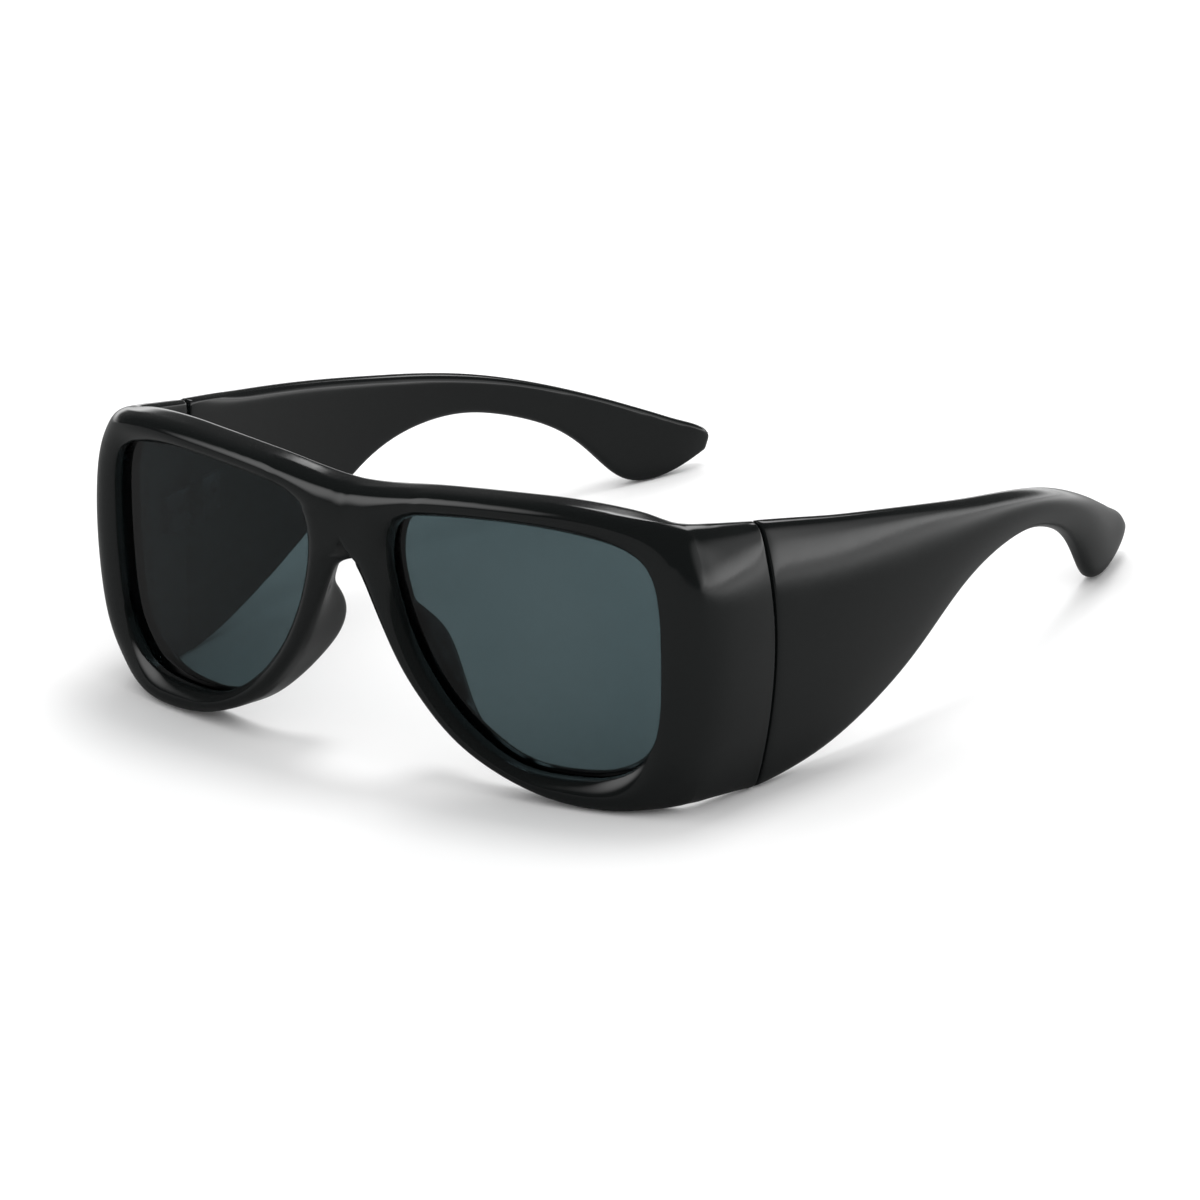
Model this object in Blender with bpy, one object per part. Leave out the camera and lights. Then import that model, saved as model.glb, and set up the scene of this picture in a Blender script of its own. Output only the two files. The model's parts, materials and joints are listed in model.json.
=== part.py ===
# Wrap aviator sunglasses: a thick moulded front with deep side returns and moulded nose pads, two curved
# lenses in grooves, two deep temples, and a three-knuckle metal hinge with its screws on each side.
# Frame: the front faces -Y, the temples run towards +Y, +Z is up, and left is the wearer's left, at +X.
# A place on the moulding is given along the plan line, up from the table, and out from the plan line.
from math import cos, hypot, pi, radians, sin, sqrt, tan

import bmesh
import bpy
import numpy as np
from mathutils import Matrix, Vector

mm = 0.001

# Plan line of the front, from the middle to the joint: two shallow arcs, a corner eased in and out, and a
# straight side
brow_radius = 200.0 * mm
brow_run = 35.0 * mm
cheek_radius = 105.0 * mm
cheek_run = 21.36 * mm
corner_ease_run = 3.0 * mm
corner_ease_radius = 22.0 * mm
corner_radius = 9.0 * mm
side_heading = radians(82.0)
side_run = 14.22 * mm

# Stance of the front: it leans forwards at the top and bows a little
lean = radians(3.7)
lean_height = 28.0 * mm
bow_radius = 3900.0 * mm

# Front moulding
front_height = 56.4 * mm
rim_line_run = 9.64 * mm
rim_depth = 6.2 * mm
side_wall = 3.2 * mm
rim_crown = 2.6 * mm
corner_crown = 4.0 * mm
side_crown = 4.2 * mm
corner_tuck = 0.2 * mm
side_peak_share = 0.56
side_blend_run = 14.0 * mm
skin_blend_lead = 7.36 * mm
skin_blend_run = 16.0 * mm
edge_roll = 1.3 * mm
corner_edge_roll = 2.0 * mm
lip_roll = 3.0 * mm
corner_lip_roll = 7.4 * mm
rim_roll = 4.3 * mm
back_roll = 1.1 * mm
butt_roll = 0.8 * mm
crease_depth = 2.2 * mm
crease_half_width = 2.2 * mm
crease_height = 5.4 * mm
corner_push = 2.3 * mm
corner_push_run = 17.0 * mm
push_base_share, push_top_share, push_fade_share = 0.24, 0.8, 0.34

# Aperture, measured along the lens line and up from the table, and the rim that is left round it. The lens
# line is one shallow arc, so the lip and the lens stand further forward than the plan line at the corner.
lens_radius = 210.0 * mm
aperture_start = 8.9 * mm
rim_side_width = 4.95 * mm
aperture_base = 5.4 * mm
rim_top_width = 4.7 * mm

# Lens and its groove
lens_setback = 2.0 * mm
lens_thickness = 2.0 * mm
groove_depth = 0.9 * mm
groove_clearance = 0.12 * mm

# Nose pads, moulded on the back of the front, and the splay of the nose gap
pad_reach = 7.2 * mm
pad_thickness = 2.9 * mm
pad_roll = 1.2 * mm
pad_root = 0.7 * mm
pad_base = 5.5 * mm
pad_top_gap = 7.0 * mm
pad_peak_power = 1.5
pad_splay = 0.1
nose_splay = 0.48
splay_base = 13.0 * mm
splay_top_gap = 2.2 * mm
splay_fade = 4.0 * mm

# Temples
joint_gap = 0.3 * mm
temple_seat_run = 11.0 * mm
temple_bow_radius = 300.0 * mm
temple_bow_run = 40.0 * mm
temple_hook_radius = 235.0 * mm
temple_hook_run = 50.0 * mm
temple_tip_radius = 550.0 * mm
temple_run = 158.2 * mm
joint_drop = 6.8 * mm
joint_base = 0.1 * mm
temple_inner_roll = 1.9 * mm
neck_crown = 1.5 * mm
tip_crown = 1.9 * mm
tip_wall = 3.0 * mm
end_crown = 0.9 * mm
end_wall = 1.8 * mm
# Along and inset shares of the round on a temple's butt
butt_round_shares = ((0.0, 1.0), (0.35, 0.24), (1.0, 0.0))
# Where along a temple its section reaches each of the sizes above
seat_share, neck_share, tip_share, end_share = 0.12, 0.5, 0.85, 0.95

# Hinges: three knuckles on a screw, and two leaves screwed to the inner faces
hinge_height = 30.0 * mm
knuckle_radius = 1.5 * mm
knuckle_height = 2.4 * mm
knuckle_gap = 0.15 * mm
knuckle_clearance = 0.1 * mm
bore_radius = 0.75 * mm
leaf_thickness = 1.0 * mm
leaf_seat_gap = 0.1 * mm
leaf_length = 9.5 * mm
leaf_cutback = 0.35 * mm
pivot_radius = 0.65 * mm
pivot_head_radius = 1.25 * mm
pivot_head_height = 0.6 * mm
head_gap = 0.05 * mm
slot_width = 0.35 * mm
slot_depth = 0.3 * mm
fixing_radius = 0.45 * mm
fixing_hole_radius = 0.55 * mm
fixing_head_radius = 0.95 * mm
fixing_head_height = 0.45 * mm
fixing_length = 2.9 * mm
pilot_radius = 0.53 * mm
pilot_overrun = 0.3 * mm
fixing_inset_shares = (0.44, 0.8)

# Outlines, as shares of the sizes that they follow, chosen on the photograph
lip_shares = (
    (0.001, 0.823), (0.03, 0.915), (0.097, 0.96), (0.216, 0.981), (0.371, 0.996), (0.546, 1.0),
    (0.742, 0.987), (0.856, 0.962), (0.926, 0.93), (0.973, 0.857), (0.994, 0.737), (1.0, 0.52),
    (0.99, 0.315), (0.969, 0.196), (0.928, 0.112), (0.858, 0.045), (0.744, 0.006), (0.565, 0.0),
    (0.468, 0.017), (0.377, 0.063), (0.254, 0.164), (0.157, 0.287), (0.087, 0.417), (0.041, 0.542),
    (0.012, 0.66), (0.0, 0.735),
)
top_edge_shares = (
    (0.0, 0.949), (0.05, 0.951), (0.121, 0.959), (0.258, 0.979), (0.379, 0.989), (0.5, 0.996),
    (0.621, 1.0), (0.712, 0.996), (0.803, 0.986), (0.909, 0.966), (1.0, 0.945),
)
base_edge_shares = (
    (1.0, 0.018), (0.909, 0.012), (0.818, 0.003), (0.765, 0.0), (0.689, 0.0), (0.636, 0.005),
    (0.576, 0.016), (0.515, 0.037), (0.462, 0.064), (0.409, 0.092), (0.342, 0.135), (0.282, 0.195),
    (0.223, 0.275), (0.161, 0.370), (0.101, 0.514), (0.067, 0.603), (0.042, 0.670), (0.024, 0.691),
    (0.0, 0.695),
)
# Counts of outline points before each lip corner and the edge corner that faces it, counts of steps between
# corners, and the count of sectors before the side return
lip_corner_counts = (0, 1, 3, 6, 9, 14, 16, 20, 23)
top_corner_counts = (0, 3, 7, 10)
base_corner_counts = (0, 3, 11, 14, 18)
sector_counts = (10, 6, 9, 8, 16, 7, 9, 7, 7)
side_sector_count = 4
# One row for each station of a temple: top along, top height, base along, base height
temple_shares = (
    (0.0, 1.0, 0.0, 0.002), (0.06, 0.968, 0.054, 0.014),
    (0.124, 0.931, 0.115, 0.044), (0.187, 0.897, 0.174, 0.101),
    (0.25, 0.861, 0.231, 0.171), (0.314, 0.823, 0.285, 0.248),
    (0.37, 0.788, 0.335, 0.343), (0.421, 0.756, 0.386, 0.429),
    (0.472, 0.726, 0.443, 0.482), (0.522, 0.694, 0.5, 0.502),
    (0.576, 0.655, 0.554, 0.501), (0.629, 0.611, 0.601, 0.478),
    (0.683, 0.558, 0.646, 0.438), (0.736, 0.5, 0.692, 0.387),
    (0.788, 0.438, 0.739, 0.321), (0.835, 0.379, 0.782, 0.228),
    (0.875, 0.325, 0.817, 0.119), (0.911, 0.278, 0.846, 0.036),
    (0.941, 0.234, 0.875, 0.0), (0.972, 0.2, 0.913, 0.0),
    (0.991, 0.167, 0.949, 0.02), (1.0, 0.136, 0.992, 0.064),
)

# How finely the surfaces are divided
curve_steps = 12
side_count = sector_counts[side_sector_count]
side_ease_count = 4
front_ring_shares = (0.0, 0.04, 0.1, 0.19, 0.3, 0.41, 0.52, 0.63, 0.74, 0.84, 0.92, 0.97, 1.0)
side_ring_shares = (0.0, 0.04, 0.1, 0.18, 0.27, 0.36, 0.45, 0.54, 0.63, 0.72, 0.81, 0.9, 1.0)
back_ring_steps = (0.0, 0.35 * mm, 1.2 * mm, 2.0 * mm, 2.6 * mm, 2.9 * mm, 3.6 * mm)
back_lip_roll = 0.5 * mm
side_column_shares = (0.0, 0.06, 0.15, 0.28, 0.43, 0.6, 0.78, 0.945, 0.982, 1.0)
wall_shares = (0.0, 0.34, 0.67, 1.0)
lens_ring_shares = (1.0, 0.78, 0.5, 0.24)
round_sides = 20
fixing_sides = 12
sharp_angle = radians(40)
weld_distance = 0.006 * mm

cheek_end = brow_run + cheek_run
cheek_heading = brow_run / brow_radius + cheek_run / cheek_radius
corner_run = (side_heading - cheek_heading - 2 * corner_ease_run / corner_ease_radius) * corner_radius
corner_middle = cheek_end + corner_ease_run + corner_run / 2
side_end = cheek_end + 2 * corner_ease_run + corner_run + side_run
corner_ease = (corner_ease_run, corner_ease_radius)
front_arcs = (
    (brow_run, brow_radius), (cheek_run, cheek_radius), corner_ease, (corner_run, corner_radius), corner_ease,
)
temple_arcs = (
    (temple_bow_run, temple_bow_radius), (temple_hook_run, temple_hook_radius),
    (temple_run, temple_tip_radius),
)
rim_line = cheek_end + rim_line_run
skin_blend_start = cheek_end - skin_blend_lead
aperture_width = rim_line - rim_side_width - aperture_start
aperture_height = front_height - rim_top_width - aperture_base
nose_arch = front_height * base_edge_shares[-1][1]
pad_height = nose_arch - pad_top_gap - pad_base
splay_height = nose_arch - splay_top_gap - splay_base
joint_top = front_height - joint_drop


def smooth_step(value):
    value = min(max(value, 0.0), 1.0)
    return value * value * (3 - 2 * value)


def blend(first, last, share):
    return first + (last - first) * share


def roll(distance, radius):
    """Rise of a rounded edge, 0 at the edge and 1 from the radius inwards."""
    inset = 1 - min(distance / radius, 1.0)
    return sqrt(1 - inset * inset)


def along_arcs(start, arcs, along):
    """x, y and heading at a distance along a line of arcs, which ends straight."""
    x, y, heading = start
    for run, radius in arcs:
        step = min(along, run)
        turned = heading + step / radius
        x += radius * (sin(turned) - sin(heading))
        y += radius * (cos(heading) - cos(turned))
        heading = turned
        along -= step
    return x + along * cos(heading), y + along * sin(heading), heading


def front_place(along, height, out, arcs=front_arcs):
    """A point of the front: out is towards the viewer on the front and outwards on the side."""
    x, y, heading = along_arcs((0.0, 0.0, 0.0), arcs, along)
    rise = height - lean_height
    fade = 1 - smooth_step((along - cheek_end) / (side_end - cheek_end))
    y += (rise * rise / (2 * bow_radius) - rise * tan(lean)) * fade
    return Vector((x + out * sin(heading), y - out * cos(heading), max(height, 0.0)))


def lens_place(along, height, out):
    return front_place(along, height, out, ((side_end, lens_radius),))


joint_start = along_arcs((0.0, 0.0, 0.0), front_arcs, side_end)


def temple_place(along, height, out):
    """A point of a temple, along it from the joint."""
    seat = along_arcs(joint_start, (), min(along, temple_seat_run))
    x, y, heading = along_arcs(seat, temple_arcs, max(along - temple_seat_run, 0.0))
    return Vector((x + out * sin(heading), y - out * cos(heading), max(height, 0.0)))


def curve_through(points, closed=False):
    """A smooth curve through the points, with curve_steps points for each span."""
    count = len(points)
    curve = []
    for span in range(count if closed else count - 1):
        near = [span - 1, span, span + 1, span + 2]
        near = [points[k % count if closed else min(max(k, 0), count - 1)] for k in near]
        for step in range(curve_steps):
            t = step / curve_steps
            curve.append(tuple(
                (2 * b + (c - a) * t + (2 * a - 5 * b + 4 * c - d) * t**2 + (3 * b - a - 3 * c + d) * t**3) / 2
                for a, b, c, d in zip(*near)
            ))
    curve.append(points[0] if closed else points[-1])
    return curve


def dense_ends(share):
    return (1 - cos(pi * share)) / 2


def spaced(curve, count):
    """count + 1 points along a curve."""
    curve = np.array(curve)
    gone = np.concatenate([[0.0], np.cumsum(np.hypot(*np.diff(curve, axis=0).T))])
    at = [gone[-1] * k / count for k in range(count + 1)]
    return np.column_stack([np.interp(at, gone, curve[:, axis]) for axis in range(2)])


def distance_to(point, curves):
    """Least distance from a point to curves of straight steps."""
    least = []
    for curve in curves:
        start, step = curve[:-1], np.diff(curve, axis=0)
        square = np.maximum((step * step).sum(axis=1), weld_distance**2)
        share = np.clip(((point - start) * step).sum(axis=1) / square, 0, 1)
        least.append(np.hypot(*(start + step * share[:, None] - point).T).min())
    return float(min(least))


def lip_curve():
    points = [
        (aperture_start + aperture_width * along, aperture_base + aperture_height * up)
        for along, up in lip_shares
    ]
    return curve_through(points, closed=True)


def edge_curve(shares):
    return curve_through([(rim_line * along, front_height * up) for along, up in shares])


def joined(sectors):
    """One closed loop from sectors that each start where the last one ends."""
    return np.concatenate([sector[:-1] for sector in sectors])


def side_line(along):
    """The rows of the side return at a distance along it, from its top edge to its base edge."""
    share = (along - rim_line) / (side_end - rim_line)
    top = blend(front_height * top_edge_shares[-1][1], joint_top, share)
    base = blend(front_height * base_edge_shares[0][1], joint_base, share)
    return np.array([(along, blend(top, base, dense_ends(k / side_count))) for k in range(side_count + 1)])


def splayed(point):
    """A point of the front edge, moved to where the splayed nose gap has it at the back of the rim."""
    along, height = point
    if along > rim_line / 2:
        return along, height
    share = nose_splay * smooth_step((height - splay_base) / splay_height) * smooth_step(along / splay_fade)
    high = smooth_step((front_height * top_edge_shares[0][1] - height) / splay_fade)
    return along + share * high * rim_depth, height


def side_skin(up, crown, tuck):
    """A side's bulge at a share of its height: the crown at the peak, tucked in at the top and base edges."""
    if up > side_peak_share:
        away = (up - side_peak_share) / (1 - side_peak_share)
    else:
        away = 1 - up / side_peak_share
    return crown - (crown + tuck) * away * away


def edge_heights(along, edge):
    """Base and top heights of the front at a distance along it."""
    top, base = edge
    top_height = np.interp(along, top[:, 0], top[:, 1])
    return float(np.interp(along, base[::-1, 0], base[::-1, 1])), float(top_height)


def lip_rise(point, lip):
    """Share of the way from the lip to the outer skin."""
    share = smooth_step((point[0] - brow_run) / (cheek_end - brow_run))
    lip_share = min(distance_to(point, lip) / blend(lip_roll, corner_lip_roll, share), 1.0)
    return 1 - (1 - lip_share) ** 2


def front_out(point, edge):
    """How far the outer skin stands out: a full round on the rims and a long bulge on the side returns."""
    along, height = point
    share = smooth_step((along - brow_run) / (cheek_end - brow_run))
    inset = distance_to(point, edge)
    rim_out = blend(rim_crown, corner_crown, share) * roll(inset, rim_roll)
    side_share = smooth_step((along - cheek_end) / (side_end - cheek_end))
    base, top = edge_heights(along, edge)
    up = (height - base) / (top - base)
    crown = blend(corner_crown, side_crown, side_share)
    round_off = blend(corner_edge_roll, edge_roll, side_share)
    side_out = side_skin(up, crown, blend(corner_tuck, 0.0, side_share))
    side_out -= round_off * (1 - roll(inset, round_off))
    out = blend(rim_out, side_out, smooth_step((along - skin_blend_start) / skin_blend_run))
    if along > corner_middle:
        push = cos(pi / 2 * (along - corner_middle) / (side_end - corner_middle))
    else:
        push = cos(pi / 2 * min((corner_middle - along) / corner_push_run, 1.0)) ** 2
    push *= smooth_step(up / push_base_share) * (1 - smooth_step((up - push_top_share) / push_fade_share))
    out += corner_push * push
    crease = 1 - smooth_step((height - nose_arch) / crease_height) - along / crease_half_width
    out -= (crease_depth + out) * max(crease, 0.0)
    return out - butt_roll * (1 - roll(side_end - along, butt_roll))


def back_out(point, edge):
    """The inner skin: flat behind the rims, thinner on the side returns, with the nose pads standing back."""
    along, height = point
    depth = blend(rim_depth, side_wall, smooth_step((along - cheek_end) / side_blend_run))
    inset = distance_to(point, edge)
    out = -depth + back_roll * (1 - roll(min(inset, side_end - along), back_roll))
    up = (height - pad_base) / pad_height
    if 0 < up < 1 and along < rim_line / 2:
        reach = pad_reach * sin(pi * up**pad_peak_power)
        near = min(inset, max(pad_thickness - inset, 0.0))
        tall = max(reach - pad_roll * (1 - roll(near, pad_roll)), 0.0)
        out -= tall * min(max((pad_thickness + pad_root - inset) / pad_root, 0.0), 1.0)
    return out


def band(mesh, first, second, closed):
    """Faces between two rows of vertices."""
    count = len(first)
    for k in range(count if closed else count - 1):
        n = (k + 1) % count
        mesh.faces.new((first[k], first[n], second[n], second[k]))


def band_rows(mesh, rows, closed):
    for first, second in zip(rows, rows[1:]):
        band(mesh, first, second, closed)


def finished(mesh, name, mirrored=False):
    """A Blender mesh from the bmesh, with its faces outwards, mirrored for the wearer's right."""
    if mirrored:
        bmesh.ops.scale(mesh, vec=(-1, 1, 1), verts=mesh.verts)
    bmesh.ops.recalc_face_normals(mesh, faces=mesh.faces)
    data = bpy.data.meshes.new(name)
    mesh.to_mesh(data)
    mesh.free()
    data.shade_smooth()
    data.set_sharp_from_angle(angle=sharp_angle)
    return data


def sectors_of(curve, corners, counts):
    """Pieces of a curve between its corners, each divided into its count of steps."""
    marks = [corner * curve_steps for corner in corners]
    return [spaced(curve[first:last + 1], count) for first, last, count in zip(marks, marks[1:], counts)]


def lip_loop_points():
    corners = (*lip_corner_counts, len(lip_shares))
    return joined(sectors_of(lip_curve(), corners, sector_counts))


def build_front():
    lip, lip_loop = lip_curve(), lip_loop_points()
    top, base = edge_curve(top_edge_shares), edge_curve(base_edge_shares)
    middle_count = sector_counts[0]
    ends = np.array(base[-1]), np.array(top[0])
    edge_sectors = [np.array([blend(*ends, dense_ends(k / middle_count)) for k in range(middle_count + 1)])]
    edge_sectors += sectors_of(top, top_corner_counts, sector_counts[1:side_sector_count])
    edge_sectors.append(side_line(rim_line))
    edge_sectors += sectors_of(base, base_corner_counts, sector_counts[side_sector_count + 1:])
    edge_loop = joined(edge_sectors)
    total = len(lip_loop)
    side_from = sum(sector_counts[:side_sector_count])
    side_to = side_from + side_count
    side_columns = [side_line(blend(rim_line, side_end, share)) for share in side_column_shares[1:]]
    top_side = [column[0] for column in side_columns]
    base_side = [column[-1] for column in side_columns]
    front_edge = [np.array(top + top_side), np.array(base_side[::-1] + base)]
    back_edge = [np.array([splayed(point) for point in curve]) for curve in front_edge]

    full_width = back_ring_steps[-1] + 2 * back_lip_roll
    mesh = bmesh.new()
    lip_line = np.array(lip)

    def front_vertex(point):
        skin = front_place(*point, front_out(point, front_edge))
        return mesh.verts.new(lens_place(*point, 0.0).lerp(skin, lip_rise(point, [lip_line])))

    def between(start, end, step):
        """A point at a step from start to end, or nearer where the rim is narrow."""
        return blend(start, end, step / max(hypot(*(end - start)), full_width))

    def back_vertex(point):
        out = back_out(point, back_edge)
        along, height = point
        splay = pad_splay * max(-out - rim_depth, 0.0)
        return mesh.verts.new(front_place(along + splay, height, out))

    def ring_share(number, k):
        ease = smooth_step(min(k - side_from, side_to - k) / side_ease_count)
        return blend(front_ring_shares[number], side_ring_shares[number], ease)

    front_rings = []
    for number in range(len(front_ring_shares)):
        pairs = enumerate(zip(lip_loop, edge_loop))
        front_rings.append([front_vertex(blend(a, b, ring_share(number, k))) for k, (a, b) in pairs])
    back_loop = np.array([splayed(point) for point in edge_loop])
    back_rings = []
    for step in back_ring_steps:
        ring = []
        for inner, outer in zip(lip_loop, back_loop):
            ring.append(back_vertex(between(outer, inner, step)))
        back_rings.append(ring)
    for inset in (back_lip_roll, 0.0):
        ring = []
        for inner, outer in zip(lip_loop, back_loop):
            ring.append(back_vertex(between(inner, outer, inset)))
        back_rings.append(ring)
    band_rows(mesh, front_rings, closed=True)
    band_rows(mesh, back_rings, closed=True)

    # Aperture wall with the lens groove
    outward = loop_normals(lip_loop)
    groove_front = groove_clearance - lens_setback
    groove_back = -lens_setback - lens_thickness - groove_clearance
    wall = [front_rings[0]]
    for out, expand in (
        (groove_front, 0.0), (groove_front, groove_depth), (groove_back, groove_depth), (groove_back, 0.0),
    ):
        wall.append([
            mesh.verts.new(lens_place(*(point + normal * expand), out))
            for point, normal in zip(lip_loop, outward)
        ])
    wall.append(back_rings[-1])
    band_rows(mesh, wall, closed=True)

    # Side return
    side_slice = [k % total for k in range(side_from, side_to + 1)]
    front_side = [[front_rings[-1][k] for k in side_slice]]
    back_side = [[back_rings[0][k] for k in side_slice]]
    for column in side_columns:
        front_side.append([front_vertex(point) for point in column])
        back_side.append([back_vertex(point) for point in column])
    band_rows(mesh, front_side, closed=False)
    band_rows(mesh, back_side, closed=False)

    # Edge wall, from the top of the bridge round the joint and back under the bridge
    def edge_path(ring, side):
        path = [ring[k] for k in range(middle_count, side_from + 1)]
        path += [column[0] for column in side[1:]]
        path += side[-1][1:-1]
        path += [column[-1] for column in side[:0:-1]]
        path += [ring[k % total] for k in range(side_to, total + 1)]
        return path

    front_path, back_path = edge_path(front_rings[-1], front_side), edge_path(back_rings[0], back_side)
    rows = [front_path]
    for share in wall_shares[1:-1]:
        rows.append([mesh.verts.new(a.co.lerp(b.co, share)) for a, b in zip(front_path, back_path)])
    rows.append(back_path)
    band_rows(mesh, rows, closed=False)

    # The other half
    for vertex in mesh.verts:
        if abs(vertex.co.x) < weld_distance:
            vertex.co.x = 0.0
    bmesh.ops.recalc_face_normals(mesh, faces=mesh.faces)
    copied = bmesh.ops.duplicate(mesh, geom=mesh.verts[:] + mesh.edges[:] + mesh.faces[:])
    half = [item for item in copied["geom"] if isinstance(item, bmesh.types.BMVert)]
    bmesh.ops.scale(mesh, vec=(-1, 1, 1), verts=half)
    bmesh.ops.reverse_faces(mesh, faces=[f for f in copied["geom"] if isinstance(f, bmesh.types.BMFace)])
    seam = [vertex for vertex in mesh.verts if vertex.co.x == 0.0]
    bmesh.ops.remove_doubles(mesh, verts=seam, dist=weld_distance)
    return finished(mesh, "front_frame")


def loop_normals(loop):
    """Unit normals, in the unrolled surface, that point away from the middle of a closed loop."""
    tangent = np.roll(loop, -1, axis=0) - np.roll(loop, 1, axis=0)
    normal = np.column_stack([-tangent[:, 1], tangent[:, 0]])
    normal /= np.hypot(*normal.T)[:, None]
    inward = ((loop - loop.mean(axis=0)) * normal).sum() < 0
    return -normal if inward else normal


def build_lens(name, mirrored):
    loop = lip_loop_points()
    loop = loop + loop_normals(loop) * (groove_depth - groove_clearance)
    centre = loop.mean(axis=0)
    mesh = bmesh.new()
    rims = []
    for out in (-lens_setback, -lens_setback - lens_thickness):
        rings = [
            [mesh.verts.new(lens_place(*blend(centre, point, share), out)) for point in loop]
            for share in lens_ring_shares
        ]
        band_rows(mesh, rings, closed=True)
        middle = mesh.verts.new(lens_place(*centre, out))
        for k, vertex in enumerate(rings[-1]):
            mesh.faces.new((vertex, rings[-1][(k + 1) % len(loop)], middle))
        rims.append(rings[0])
    band(mesh, rims[0], rims[1], closed=True)
    return finished(mesh, name, mirrored)


def temple_section(mesh, row, inset):
    """One closed ring of a temple, up its outer side and down its inner side."""
    top_along, top_up, base_along, base_up = row
    top = np.array((temple_run * top_along, joint_top * top_up))
    base = np.array((temple_run * base_along, joint_top * base_up))
    share = (top_along + base_along) / 2
    crown = blend(side_crown, neck_crown, smooth_step(share / neck_share))
    crown = blend(crown, tip_crown, smooth_step((share - neck_share) / (tip_share - neck_share)))
    crown = blend(crown, end_crown, smooth_step((share - end_share) / (1 - end_share)))
    wall = blend(side_wall, tip_wall, smooth_step((share - neck_share) / (tip_share - neck_share)))
    wall = blend(wall, end_wall, smooth_step((share - end_share) / (1 - end_share)))
    half = hypot(*(top - base)) / 2
    soften = smooth_step(share / seat_share) * (1 - smooth_step((share - neck_share) / (tip_share - neck_share)))
    inner_roll = blend(back_roll, temple_inner_roll, soften)
    outer_roll, inner_roll = min(edge_roll, half), min(inner_roll, half)
    outer, inner = [], []
    for k in range(side_count + 1):
        up = dense_ends(k / side_count)
        along, height = blend(base, top, up)
        edge = 2 * half * min(up, 1 - up)
        out = side_skin(up, crown, 0.0) - outer_roll * (1 - roll(edge, outer_roll)) - inset
        back = -wall + inner_roll * (1 - roll(edge, inner_roll)) + inset
        outer.append(mesh.verts.new(temple_place(along + joint_gap, height, out)))
        inner.append(mesh.verts.new(temple_place(along + joint_gap, height, back)))
    return outer, inner


def build_temple(name, mirrored):
    mesh = bmesh.new()
    first = temple_shares[0]
    rows = []
    for along_share, inset_share in butt_round_shares:
        shift = butt_roll * along_share / temple_run
        row = (first[0] + shift, first[1], first[2] + shift, first[3])
        rows.append((row, butt_roll * inset_share))
    rows += [(row, 0.0) for row in temple_shares[1:]]
    sections = [temple_section(mesh, row, inset) for row, inset in rows]
    rings = [outer + inner[::-1] for outer, inner in sections]
    band_rows(mesh, rings, closed=True)
    for outer, inner in (sections[0], sections[-1]):
        band(mesh, outer, inner, closed=False)
    return finished(mesh, name, mirrored)


def combined(data, tools, operation):
    """The mesh after each tool mesh is joined to it or cut from it."""
    body = bpy.data.objects.new("body", data)
    bpy.context.scene.collection.objects.link(body)
    helpers = [body]
    for tool in tools:
        helper = bpy.data.objects.new("tool", tool)
        bpy.context.scene.collection.objects.link(helper)
        modifier = body.modifiers.new(operation, "BOOLEAN")
        modifier.operation = operation
        modifier.object = helper
        helpers.append(helper)
    result = bpy.data.meshes.new_from_object(body.evaluated_get(bpy.context.evaluated_depsgraph_get()))
    for helper in helpers:
        bpy.data.objects.remove(helper)
    return result


def box(low, high):
    mesh = bmesh.new()
    bmesh.ops.create_cube(mesh, size=1)
    size = [b - a for a, b in zip(low, high)]
    bmesh.ops.scale(mesh, vec=size, verts=mesh.verts)
    bmesh.ops.translate(mesh, vec=[(a + b) / 2 for a, b in zip(low, high)], verts=mesh.verts)
    return finished(mesh, "box")


def rod(radius, start, end, sides=round_sides):
    """A round bar along Z."""
    return turned(((radius, start), (radius, end)), sides)


def turned(profile, sides=round_sides):
    """A stepped round bar along Z, from rows of radius and height."""
    mesh = bmesh.new()
    rings = [
        [
            mesh.verts.new((radius * cos(2 * pi * k / sides), radius * sin(2 * pi * k / sides), height))
            for k in range(sides)
        ]
        for radius, height in profile
    ]
    band_rows(mesh, rings, closed=True)
    mesh.faces.new(rings[0])
    mesh.faces.new(rings[-1])
    return finished(mesh, "turned")


# Hinge, about its own axis: X is outwards, Y runs back along the temple, Z is up
stack_height = 3 * knuckle_height + 2 * knuckle_gap
inner_face = knuckle_radius + knuckle_clearance
leaf_outer = inner_face - leaf_seat_gap
leaf_inner = leaf_outer - leaf_thickness
outer_knuckles = ((-stack_height / 2, knuckle_height - stack_height / 2),
                  (stack_height / 2 - knuckle_height, stack_height / 2))
middle_knuckle = ((-knuckle_height / 2, knuckle_height / 2),)


def build_leaf(direction, knuckles):
    """A plate with its knuckles, which lies towards the front or the temple."""
    def reach(first, last, low, high):
        ends = sorted((direction * first, direction * last))
        return box((leaf_inner, ends[0], low), (leaf_outer, ends[1], high))

    plate = reach(knuckle_radius + leaf_cutback, leaf_length, -stack_height / 2, stack_height / 2)
    necks = [reach(0.0, leaf_length - knuckle_radius, low, high) for low, high in knuckles]
    barrels = [rod(knuckle_radius, low, high) for low, high in knuckles]
    leaf = combined(plate, necks + barrels, "UNION")
    cuts = [rod(bore_radius, -stack_height, stack_height)]
    for share in fixing_inset_shares:
        hole = rod(fixing_hole_radius, -leaf_length, leaf_length, fixing_sides)
        hole.transform(fixing_turn(direction, share))
        cuts.append(hole)
    return combined(leaf, cuts, "DIFFERENCE")


def fixing_turn(direction, share):
    """Lays a fixing, made along Z, across a leaf at a share of its length."""
    return Matrix.Translation((0, direction * leaf_length * share, 0)) @ Matrix.Rotation(pi / 2, 4, "Y")


def slotted(data, radius, top):
    corner = Vector((slot_width / 2, 2 * radius, slot_depth))
    middle = Vector((0, 0, top))
    return combined(data, [box(middle - corner, middle + corner)], "DIFFERENCE")


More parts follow.
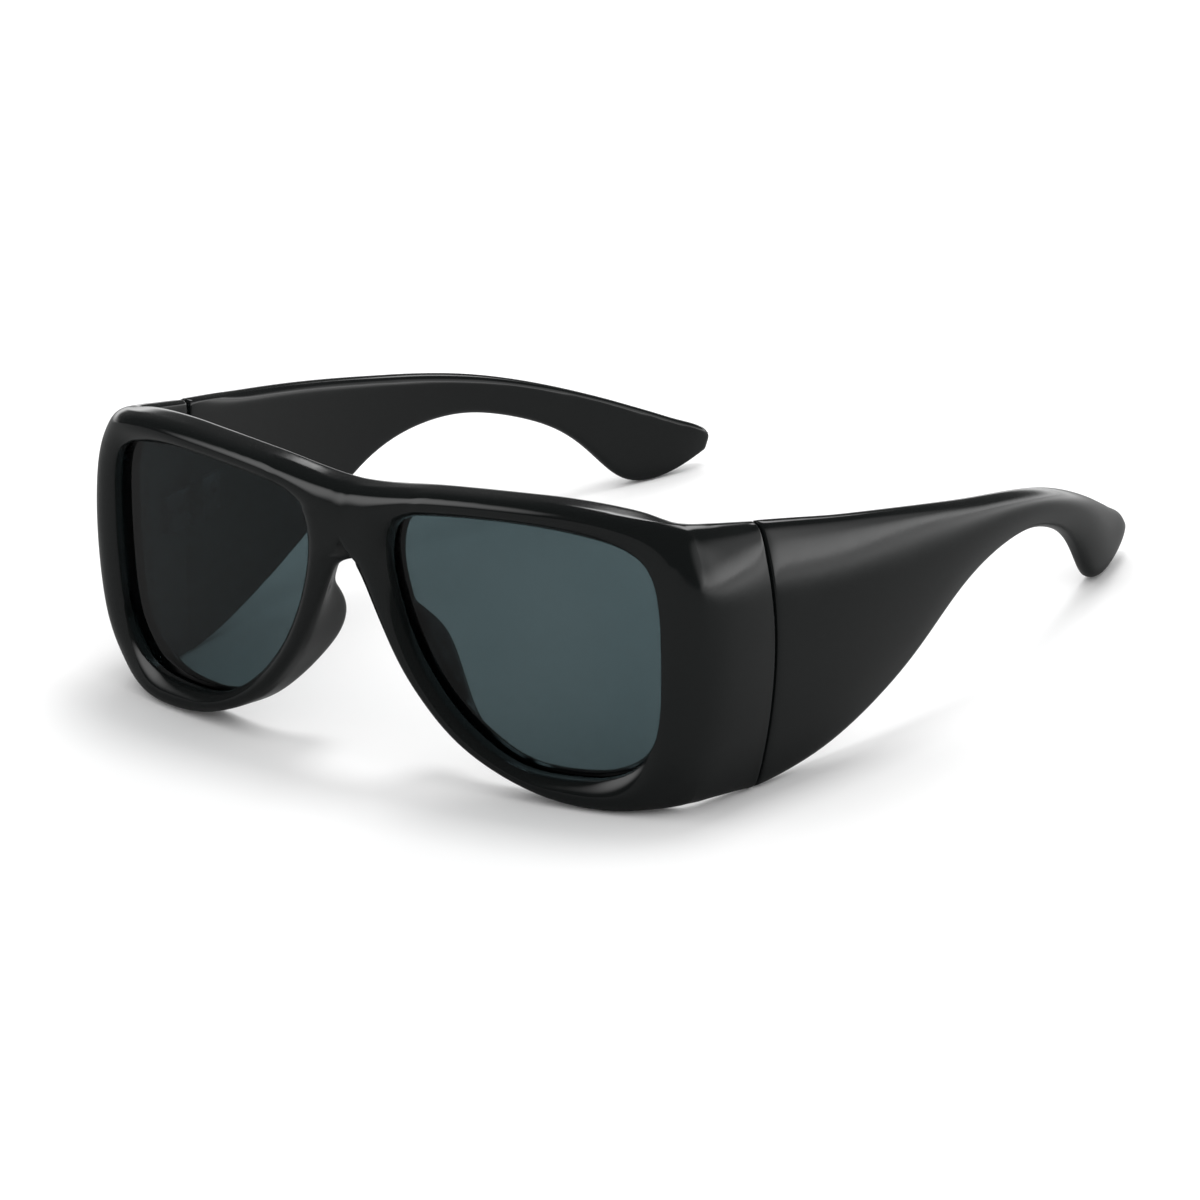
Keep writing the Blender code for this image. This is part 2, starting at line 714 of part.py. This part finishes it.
def build_pivot():
    seat = stack_height / 2 + head_gap
    top = seat + pivot_head_height
    profile = (
        (pivot_radius - head_gap, -stack_height / 2), (pivot_radius, head_gap - stack_height / 2),
        (pivot_radius, seat), (pivot_head_radius, seat), (pivot_head_radius, top - head_gap),
        (pivot_head_radius - head_gap, top),
    )
    return slotted(turned(profile), pivot_head_radius, top)


def build_fixing(direction, share):
    """A small screw: its head is inside the leaf and its shank runs out into the plastic."""
    seat = head_gap - leaf_inner
    top = seat + fixing_head_height
    profile = (
        (fixing_radius - head_gap, seat - fixing_length), (fixing_radius, seat - fixing_length + slot_depth),
        (fixing_radius, seat), (fixing_head_radius, seat), (fixing_head_radius, top - head_gap),
        (fixing_head_radius - head_gap, top),
    )
    data = slotted(turned(profile, fixing_sides), fixing_head_radius, top)
    data.transform(fixing_turn(direction, share) @ Matrix.Rotation(pi, 4, "X"))
    return data


def pilot_cuts(direction):
    """Blind holes in the plastic for the two fixings of a leaf."""
    cuts = []
    end = leaf_inner - head_gap + fixing_length + pilot_overrun
    for share in fixing_inset_shares:
        hole = rod(pilot_radius, leaf_outer, end, fixing_sides)
        hole.transform(fixing_turn(direction, share))
        cuts.append(hole)
    return cuts


def hinge_matrix():
    x, y, heading = joint_start
    out = -side_wall - inner_face
    y_axis = y + joint_gap / 2 * sin(heading) - out * cos(heading)
    x_axis = x + joint_gap / 2 * cos(heading) + out * sin(heading)
    return Matrix.Translation((x_axis, y_axis, hinge_height)) @ Matrix.Rotation(heading - pi / 2, 4, "Z")


def placed(data, mirrored):
    """A hinge piece moved from its own axis to its place in the part."""
    mesh = bmesh.new()
    mesh.from_mesh(data)
    bmesh.ops.transform(mesh, matrix=hinge_matrix(), verts=mesh.verts)
    return finished(mesh, data.name, mirrored)


def make_material(name, colour, roughness, metallic=0.0, transmission=0.0):
    material = bpy.data.materials.new(name)
    material.use_nodes = True
    shader = material.node_tree.nodes["Principled BSDF"]
    shader.inputs["Base Color"].default_value = (*colour, 1.0)
    shader.inputs["Roughness"].default_value = roughness
    shader.inputs["Metallic"].default_value = metallic
    shader.inputs["Transmission Weight"].default_value = transmission
    return material


def add_node(name, data, material, parent):
    node = bpy.data.objects.new(name, data)
    data.name = name
    data.materials.clear()
    data.materials.append(material)
    bpy.context.scene.collection.objects.link(node)
    node.parent = parent
    node.matrix_parent_inverse = parent.matrix_world.inverted()
    return node


def add_empty(name, place, parent=None):
    empty = bpy.data.objects.new(name, None)
    empty.location = place
    bpy.context.scene.collection.objects.link(empty)
    if parent:
        empty.parent = parent
    bpy.context.view_layer.update()
    return empty


def build():
    for stale in list(bpy.data.objects):
        bpy.data.objects.remove(stale)
    plastic = make_material("gloss_black_plastic", (0.006, 0.007, 0.007), 0.12)
    tint = make_material("smoke_green_lens", (0.06, 0.10, 0.11), 0.03, transmission=0.9)
    steel = make_material("black_nickel_steel", (0.1, 0.1, 0.105), 0.25, metallic=1.0)
    part_origin = add_empty("part_origin", (0.0, 0.0, 0.0))
    nodes = []

    front = build_front()
    for mirrored in (False, True):
        front = combined(front, [placed(cut, mirrored) for cut in pilot_cuts(-1)], "DIFFERENCE")
    nodes.append(add_node("front_frame", front, plastic, part_origin))

    axis = hinge_matrix().translation
    for side, sign in (("left", 1), ("right", -1)):
        mirrored = sign < 0
        hinge_axis = add_empty("hinge_axis_" + side, (sign * axis.x, axis.y, axis.z), part_origin)
        nodes.append(add_node("lens_" + side, build_lens("lens", mirrored), tint, part_origin))
        temple = build_temple("temple", mirrored)
        temple = combined(temple, [placed(cut, mirrored) for cut in pilot_cuts(1)], "DIFFERENCE")
        nodes.append(add_node("temple_" + side, temple, plastic, hinge_axis))
        nodes.append(add_node("hinge_screw_" + side, placed(build_pivot(), mirrored), steel, part_origin))
        for end, direction, knuckles, parent in (
            ("front", -1, outer_knuckles, part_origin), ("temple", 1, middle_knuckle, hinge_axis),
        ):
            leaf = placed(build_leaf(direction, knuckles), mirrored)
            nodes.append(add_node(f"{end}_hinge_leaf_{side}", leaf, steel, parent))
            for number, share in enumerate(fixing_inset_shares, 1):
                fixing = placed(build_fixing(direction, share), mirrored)
                nodes.append(add_node(f"{end}_leaf_screw_{side}_{number}", fixing, steel, parent))

    # The origin is under the middle of the whole part
    ends = [vertex.co.y for node in nodes for vertex in node.data.vertices]
    part_origin.location.y = -(min(ends) + max(ends)) / 2


build()
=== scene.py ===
import json
from math import radians

import bmesh
import bpy
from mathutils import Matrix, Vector


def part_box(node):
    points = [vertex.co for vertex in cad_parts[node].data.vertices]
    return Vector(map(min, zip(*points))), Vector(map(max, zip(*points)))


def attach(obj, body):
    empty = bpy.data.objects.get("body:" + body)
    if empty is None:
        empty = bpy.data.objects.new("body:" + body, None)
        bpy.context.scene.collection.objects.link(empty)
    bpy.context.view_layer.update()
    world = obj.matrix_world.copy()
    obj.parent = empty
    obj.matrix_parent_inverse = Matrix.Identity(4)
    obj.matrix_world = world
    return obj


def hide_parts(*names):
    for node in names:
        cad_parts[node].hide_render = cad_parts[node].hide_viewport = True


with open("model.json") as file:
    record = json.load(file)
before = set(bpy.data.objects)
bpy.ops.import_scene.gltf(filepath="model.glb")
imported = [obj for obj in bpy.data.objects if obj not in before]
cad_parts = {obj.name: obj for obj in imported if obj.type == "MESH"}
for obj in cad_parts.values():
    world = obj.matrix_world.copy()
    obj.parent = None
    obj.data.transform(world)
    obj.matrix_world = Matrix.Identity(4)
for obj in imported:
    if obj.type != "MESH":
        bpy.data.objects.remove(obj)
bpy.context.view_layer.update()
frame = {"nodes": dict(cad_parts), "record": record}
nodes = frame["nodes"]
print("frame loaded")


def deselectAll():
    if bpy.context.mode != "OBJECT":
        bpy.ops.object.mode_set(mode="OBJECT")
    bpy.ops.object.select_all(action="DESELECT")


def makeActive(piece):
    deselectAll()
    piece.select_set(True)
    bpy.context.view_layer.objects.active = piece


# Camera, at the photograph's viewing angle
cameraSettings = {
    "location": (0.60285, -0.89681, 0.37194),
    "rotation": (71.30, -0.33, 34.45),
    "lens": 180.12,
    "sensor": 36.0,
    "nearest": 0.01,
}


def makeCamera(settings):
    deselectAll()
    bpy.ops.object.camera_add(
        location=settings["location"],
        rotation=[radians(angle) for angle in settings["rotation"]],
    )
    camera = bpy.context.object
    camera.name = "productCamera"
    camera.data.lens = settings["lens"]
    camera.data.sensor_width = settings["sensor"]
    camera.data.clip_start = settings["nearest"]
    bpy.context.scene.camera = camera


makeCamera(cameraSettings)


# Studio: white to the camera and a dim room in the gloss, as a black moulding is photographed
roomSettings = {
    "light": 1.0,
    "gloss": 0.05,
    "backGlow": {"start": 0.1, "end": 0.6, "strength": 1.5, "height": 0.14, "upper": 0.08, "upperHeight": 0.60},
    "patches": {
        "sidePanel": {"direction": (0.84, 0.52, 0.14), "inner": 0.998, "outer": 0.90, "strength": 0.55},
        "sidePanelEnd": {"direction": (0.60, 0.79, 0.14), "inner": 0.995, "outer": 0.95, "strength": 0.4},
        "backPanel": {"direction": (-0.42, 0.79, 0.45), "inner": 0.9992, "outer": 0.9955, "strength": 4.0},
        "lipPanel": {"direction": (-0.10, 0.83, 0.55), "inner": 0.998, "outer": 0.985, "strength": 3.0},
        "frontPanel": {"direction": (-0.57, -0.72, 0.42), "inner": 1.0, "outer": 0.89, "strength": 2.3},
    },
}


def smoothRange(tree, value, low, high, first, last):
    node = tree.nodes.new("ShaderNodeMapRange")
    node.interpolation_type = "SMOOTHSTEP"
    for socket, number in (("From Min", low), ("From Max", high), ("To Min", first), ("To Max", last)):
        node.inputs[socket].default_value = number
    tree.links.new(value, node.inputs["Value"])
    return node.outputs["Result"]


def combine(tree, operation, first, second):
    node = tree.nodes.new("ShaderNodeMath")
    node.operation = operation
    for socket, value in zip(node.inputs, (first, second)):
        if hasattr(value, "links"):
            tree.links.new(value, socket)
        else:
            socket.default_value = value
    return node.outputs[0]


def reflected(tree):
    path = tree.nodes.new("ShaderNodeLightPath")
    direct = combine(tree, "SUBTRACT", 1.0, path.outputs["Is Transmission Ray"])  # a lens shows what is behind it
    return combine(tree, "MULTIPLY", path.outputs["Is Glossy Ray"], direct)


def makeRoom(settings):
    world = bpy.data.worlds.new("studioRoom")
    bpy.context.scene.world = world
    world.use_nodes = True
    tree = world.node_tree
    tree.nodes.clear()
    output = tree.nodes.new("ShaderNodeOutputWorld")
    place = tree.nodes.new("ShaderNodeTexCoord").outputs["Generated"]
    split = tree.nodes.new("ShaderNodeSeparateXYZ")
    tree.links.new(place, split.inputs[0])

    # The gloss of the moulding sees a dark room with a glow low behind the object and soft panels
    glow = settings["backGlow"]
    behind = smoothRange(tree, split.outputs["Y"], glow["start"], glow["end"], 0.0, 1.0)
    low = smoothRange(tree, split.outputs["Z"], 0.0, glow["height"], glow["strength"], 0.0)
    upper = smoothRange(tree, split.outputs["Z"], 0.0, glow["upperHeight"], glow["upper"], 0.0)
    total = combine(tree, "MULTIPLY", behind, combine(tree, "ADD", low, upper))
    total = combine(tree, "ADD", total, settings["gloss"])
    for patch in settings["patches"].values():
        aim = tree.nodes.new("ShaderNodeVectorMath")
        aim.operation = "DOT_PRODUCT"
        tree.links.new(place, aim.inputs[0])
        aim.inputs[1].default_value = Vector(patch["direction"]).normalized()
        lit = smoothRange(tree, aim.outputs["Value"], patch["outer"], patch["inner"], 0.0, patch["strength"])
        total = combine(tree, "ADD", total, lit)

    mix = tree.nodes.new("ShaderNodeMix")
    tree.links.new(reflected(tree), mix.inputs["Factor"])
    mix.inputs["A"].default_value = settings["light"]
    tree.links.new(total, mix.inputs["B"])
    light = tree.nodes.new("ShaderNodeBackground")
    light.inputs["Color"].default_value = (1, 1, 1, 1)
    tree.links.new(mix.outputs["Result"], light.inputs["Strength"])
    tree.links.new(light.outputs[0], output.inputs["Surface"])


floorSettings = {
    "size": 8.0,
    "colour": (0.96, 0.96, 0.96, 1.0),
    "roughness": 0.9,
    "gloss": {"near": 0.20, "far": 0.95, "start": 0.10, "end": 0.50},
}


def makeFloor(settings):
    deselectAll()
    bpy.ops.mesh.primitive_plane_add(size=settings["size"], location=(0, 0, 0))
    floor = bpy.context.object
    floor.name = "studioFloor"
    material = bpy.data.materials.new("paleFloor")
    material.use_nodes = True
    tree = material.node_tree
    shader = tree.nodes["Principled BSDF"]
    shader.inputs["Roughness"].default_value = settings["roughness"]
    shader.inputs["Specular IOR Level"].default_value = 0.0
    gloss = settings["gloss"]
    split = tree.nodes.new("ShaderNodeSeparateXYZ")
    tree.links.new(tree.nodes.new("ShaderNodeTexCoord").outputs["Object"], split.inputs[0])
    depth = split.outputs["Y"]
    shown = smoothRange(tree, depth, gloss["start"], gloss["end"], gloss["near"], gloss["far"])  # white behind
    mix = tree.nodes.new("ShaderNodeMix")
    mix.data_type = "RGBA"
    tree.links.new(reflected(tree), mix.inputs["Factor"])
    mix.inputs["A"].default_value = settings["colour"]
    tree.links.new(shown, mix.inputs["B"])
    tree.links.new(mix.outputs["Result"], shader.inputs["Base Color"])
    floor.data.materials.append(material)


lampSettings = {
    "aim": (0.0, 0.0, 0.02),
    "lamps": {
        "overheadSoftbox": {"location": (0.0, 0.15, 1.00), "size": 0.3, "power": 2.6},
        "backSoftbox": {"location": (-0.45, 0.75, 0.90), "size": 0.6, "power": 2.4},
    },
}


def makeLamps(settings):
    for name, lamp in settings["lamps"].items():
        deselectAll()
        bpy.ops.object.light_add(type="AREA", location=lamp["location"])
        light = bpy.context.object
        light.name = name
        light.data.shape = "SQUARE"
        light.data.size = lamp["size"]
        light.data.energy = lamp["power"]
        light.visible_glossy = False  # the room's own panels show in the gloss
        aim = Vector(settings["aim"]) - light.location
        light.rotation_euler = aim.to_track_quat("-Z", "Y").to_euler()


bpy.context.scene.view_settings.view_transform = "Standard"
makeRoom(roomSettings)
makeFloor(floorSettings)
makeLamps(lampSettings)
print("studio ready")


def newFinish(name):
    material = bpy.data.materials.new(name)
    material.use_nodes = True
    tree = material.node_tree
    place = tree.nodes.new("ShaderNodeTexCoord").outputs["Object"]
    return material, tree, tree.nodes["Principled BSDF"], place


def noiseOn(tree, place, scale, detail):
    noise = tree.nodes.new("ShaderNodeTexNoise")
    noise.inputs["Scale"].default_value = scale
    noise.inputs["Detail"].default_value = detail
    tree.links.new(place, noise.inputs["Vector"])
    return noise.outputs["Fac"]


# Finishes
plasticSettings = {
    "colour": (0.0045, 0.0055, 0.0055, 1),
    "ior": 1.5,
    "roughness": (0.09, 0.15),
    "buffing": {"scale": 90.0, "detail": 6.0, "range": (0.3, 0.75)},
    "flowWaves": {"scale": 260.0, "detail": 2.0, "height": 0.000012},
}


def polishedBlackPlastic(settings):
    material, tree, shader, place = newFinish("polishedBlackPlastic")
    shader.inputs["Base Color"].default_value = settings["colour"]
    shader.inputs["IOR"].default_value = settings["ior"]

    # Uneven hand buffing
    buffing = settings["buffing"]
    cloud = noiseOn(tree, place, buffing["scale"], buffing["detail"])
    roughness = smoothRange(tree, cloud, *buffing["range"], *settings["roughness"])
    tree.links.new(roughness, shader.inputs["Roughness"])

    # Flow waves of the moulding
    waves = settings["flowWaves"]
    bump = tree.nodes.new("ShaderNodeBump")
    bump.inputs["Distance"].default_value = waves["height"]
    bump.inputs["Strength"].default_value = 1.0
    tree.links.new(noiseOn(tree, place, waves["scale"], waves["detail"]), bump.inputs["Height"])
    tree.links.new(bump.outputs["Normal"], shader.inputs["Normal"])
    return material


tintSettings = {
    "tints": ((0.046, 0.071, 0.077, 1), (0.050, 0.075, 0.081, 1)),
    "cloud": {"scale": 45.0, "detail": 2.0, "range": (0.3, 0.7)},
    "roughness": 0.0,
    "ior": 1.45,
}


def smokeGreenLens(settings):
    material, tree, shader, place = newFinish("smokeGreenLens")
    cloud = settings["cloud"]
    dye = noiseOn(tree, place, cloud["scale"], cloud["detail"])  # slightly uneven dye
    tint = tree.nodes.new("ShaderNodeMix")
    tint.data_type = "RGBA"
    tree.links.new(smoothRange(tree, dye, *cloud["range"], 0.0, 1.0), tint.inputs["Factor"])
    tint.inputs["A"].default_value, tint.inputs["B"].default_value = settings["tints"]
    tree.links.new(tint.outputs["Result"], shader.inputs["Base Color"])
    shader.inputs["Roughness"].default_value = settings["roughness"]
    shader.inputs["IOR"].default_value = settings["ior"]
    shader.inputs["Transmission Weight"].default_value = 1.0
    return material


steelSettings = {
    "colour": (0.11, 0.11, 0.115, 1),
    "roughness": (0.2, 0.36),
    "grain": {"stretch": (1.0, 1.0, 14.0), "scale": 900.0, "detail": 4.0, "range": (0.3, 0.7)},
}


def blackNickelSteel(settings):
    material, tree, shader, place = newFinish("blackNickelSteel")
    shader.inputs["Base Color"].default_value = settings["colour"]
    shader.inputs["Metallic"].default_value = 1.0
    grain = settings["grain"]
    stretch = tree.nodes.new("ShaderNodeMapping")
    stretch.inputs["Scale"].default_value = grain["stretch"]
    tree.links.new(place, stretch.inputs["Vector"])
    brushing = noiseOn(tree, stretch.outputs[0], grain["scale"], grain["detail"])
    roughness = smoothRange(tree, brushing, *grain["range"], *settings["roughness"])
    tree.links.new(roughness, shader.inputs["Roughness"])
    return material


finishes = {
    "plastic": polishedBlackPlastic(plasticSettings),
    "lens": smokeGreenLens(tintSettings),
    "steel": blackNickelSteel(steelSettings),
}
print("finishes ready")


def bodyOf(name):
    for body, members in frame["record"]["behaviour"]["bodies"].items():
        if name in members:
            return body
    return None


def copyOf(name, newName, settings):
    piece = bpy.data.objects.new(newName, nodes[name].data.copy())
    bpy.context.scene.collection.objects.link(piece)
    makeActive(piece)
    bpy.ops.object.mode_set(mode="EDIT")
    bpy.ops.mesh.select_all(action="SELECT")
    bpy.ops.mesh.remove_doubles(threshold=settings["mergeDistance"])
    bpy.ops.object.mode_set(mode="OBJECT")
    return piece


def makeQuads(piece, settings):
    makeActive(piece)
    bpy.ops.object.mode_set(mode="EDIT")
    bpy.ops.mesh.select_all(action="SELECT")
    angle = radians(settings["quadAngle"])
    bpy.ops.mesh.tris_convert_to_quads(face_threshold=angle, shape_threshold=angle)
    bpy.ops.object.mode_set(mode="OBJECT")


def creaseSharpEdges(piece, settings):
    makeActive(piece)
    bpy.ops.object.mode_set(mode="EDIT")
    bpy.ops.mesh.select_mode(type="EDGE")
    bpy.ops.mesh.select_all(action="SELECT")
    bpy.ops.transform.edge_crease(value=-1.0)
    bpy.ops.mesh.select_all(action="DESELECT")
    bpy.ops.mesh.edges_select_sharp(sharpness=radians(settings["creaseAngle"]))
    bpy.ops.transform.edge_crease(value=settings["creaseWeight"])
    bpy.ops.object.mode_set(mode="OBJECT")


def roundOff(piece, settings):
    makeActive(piece)
    rounding = piece.modifiers.new("rounding", "SUBSURF")
    rounding.levels = rounding.render_levels = settings["roundingLevels"]
    bpy.ops.object.modifier_apply(modifier=rounding.name)


def finishPiece(piece, name, finish):
    makeActive(piece)
    bpy.ops.object.shade_smooth()
    piece.data.materials.clear()
    piece.data.materials.append(finish)
    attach(piece, bodyOf(name))
    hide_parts(name)
    print(piece.name, "faces", len(piece.data.polygons))


# Mouldings: each is a copy of its solid, turned back into quads, rounded and, on the front, faired
mouldingSettings = {
    "mergeDistance": 0.000002,
    "quadAngle": 179.0,
    "creaseAngle": 42.0,
    "creaseWeight": 0.75,
    "roundingLevels": 1,
    "fairingRounds": 14,
    "fairingFactor": 0.5,
    "jointMargin": 0.0012,
    "frontFacing": -0.02,
    "sideFacing": 0.25,
    "sideStart": 0.056,
    "noseHalfWidth": 0.022,
    "notchHalfWidth": 0.004,
    "notchTop": 0.0455,
    "bridge": {"halfWidth": 0.016, "bottom": 0.0475, "rounds": 40},
}
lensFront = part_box("lens_left")[0][1] + mouldingSettings["jointMargin"]
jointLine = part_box("front_frame")[1][1] - mouldingSettings["jointMargin"]


def isOuterSkin(place, normal, settings):
    across, outward = abs(place.x), normal.x if place.x > 0 else -normal.x
    inNotch = across < settings["notchHalfWidth"] and place.z < settings["notchTop"]
    onNosePad = across < settings["noseHalfWidth"] and place.y > lensFront
    if place.y > jointLine or inNotch or onNosePad:
        return False
    onSide = outward > settings["sideFacing"] and across > settings["sideStart"]
    return normal.y < settings["frontFacing"] or onSide


def fairSkin(piece, settings):
    makeActive(piece)
    bpy.ops.object.mode_set(mode="EDIT")
    bpy.ops.mesh.select_mode(type="EDGE")
    bpy.ops.mesh.select_all(action="DESELECT")
    bpy.ops.mesh.edges_select_sharp(sharpness=radians(settings["creaseAngle"]))
    mesh = bmesh.from_edit_mesh(piece.data)
    kept = {vertex.index for edge in mesh.edges if edge.select for vertex in edge.verts}
    bpy.ops.mesh.select_mode(type="VERT")
    bpy.ops.mesh.select_all(action="DESELECT")
    for vertex in mesh.verts:
        vertex.select = vertex.index not in kept and isOuterSkin(vertex.co, vertex.normal, settings)
    mesh.select_flush(True)
    bmesh.update_edit_mesh(piece.data)
    bpy.ops.mesh.vertices_smooth(factor=settings["fairingFactor"], repeat=settings["fairingRounds"])

    # The bridge's round top is one unbroken form
    bridge = settings["bridge"]
    for vertex in mesh.verts:
        inBridge = abs(vertex.co.x) < bridge["halfWidth"] and vertex.co.z > bridge["bottom"]
        vertex.select = vertex.select and inBridge
    mesh.select_flush(False)
    bmesh.update_edit_mesh(piece.data)
    bpy.ops.mesh.vertices_smooth(factor=settings["fairingFactor"], repeat=bridge["rounds"])
    bpy.ops.object.mode_set(mode="OBJECT")
    for vertex in piece.data.vertices:
        vertex.co.z = max(vertex.co.z, 0.0)


def makeMoulding(name, newName, settings, faired):
    piece = copyOf(name, newName, settings)
    makeQuads(piece, settings)
    creaseSharpEdges(piece, settings)
    roundOff(piece, settings)
    if faired:
        fairSkin(piece, settings)
    creaseSharpEdges(piece, settings)
    roundOff(piece, settings)
    finishPiece(piece, name, finishes["plastic"])


makeMoulding("front_frame", "frontMoulding", mouldingSettings, faired=True)
makeMoulding("temple_left", "leftTempleMoulding", mouldingSettings, faired=False)
makeMoulding("temple_right", "rightTempleMoulding", mouldingSettings, faired=False)
print("mouldings ready")


# Lenses: smooth faces, a sharp rim, and edge faces given the black plastic finish as painted shade of the groove
lensSettings = {
    "mergeDistance": 0.000002,
    "quadAngle": 179.0,
    "creaseAngle": 42.0,
    "creaseWeight": 1.0,
    "roundingLevels": 2,
    "edgeNormal": 0.5,
}


def makeLens(name, newName, settings):
    piece = copyOf(name, newName, settings)
    makeQuads(piece, settings)
    creaseSharpEdges(piece, settings)
    roundOff(piece, settings)
    finishPiece(piece, name, finishes["lens"])
    bpy.ops.object.shade_smooth_by_angle(angle=radians(settings["creaseAngle"]))
    # Painted shade: the lens's edge faces, down in the groove, take the black plastic finish to stand for the
    # groove's shadow
    piece.data.materials.append(finishes["plastic"])
    for face in piece.data.polygons:
        face.material_index = int(abs(face.normal.y) < settings["edgeNormal"])


makeLens("lens_left", "leftLens", lensSettings)
makeLens("lens_right", "rightLens", lensSettings)
print("lenses ready")


# Hinge metal: the leaves and screws with their machined edges broken
hardwareSettings = {
    "mergeDistance": 0.000002,
    "flatAngle": 2.0,
    "bevelWidth": 0.00009,
    "bevelSegments": 2,
    "bevelAngle": 32.0,
    "smoothAngle": 40.0,
}


def makeHardware(name, newName, settings):
    piece = copyOf(name, newName, settings)
    bpy.ops.object.mode_set(mode="EDIT")
    bpy.ops.mesh.select_all(action="SELECT")
    bpy.ops.mesh.dissolve_limited(angle_limit=radians(settings["flatAngle"]))
    bpy.ops.object.mode_set(mode="OBJECT")
    edges = piece.modifiers.new("brokenEdges", "BEVEL")
    edges.width = settings["bevelWidth"]
    edges.segments = settings["bevelSegments"]
    edges.limit_method = "ANGLE"
    edges.angle_limit = radians(settings["bevelAngle"])
    bpy.ops.object.modifier_apply(modifier=edges.name)
    finishPiece(piece, name, finishes["steel"])
    bpy.ops.object.shade_smooth_by_angle(angle=radians(settings["smoothAngle"]))


def camelName(name):
    first, *rest = name.split("_")
    return first + "".join(word.capitalize() for word in rest)


for name in [name for name in nodes if "screw" in name or "leaf" in name]:
    makeHardware(name, camelName(name) + "Metal", hardwareSettings)
print("hinge metal ready")
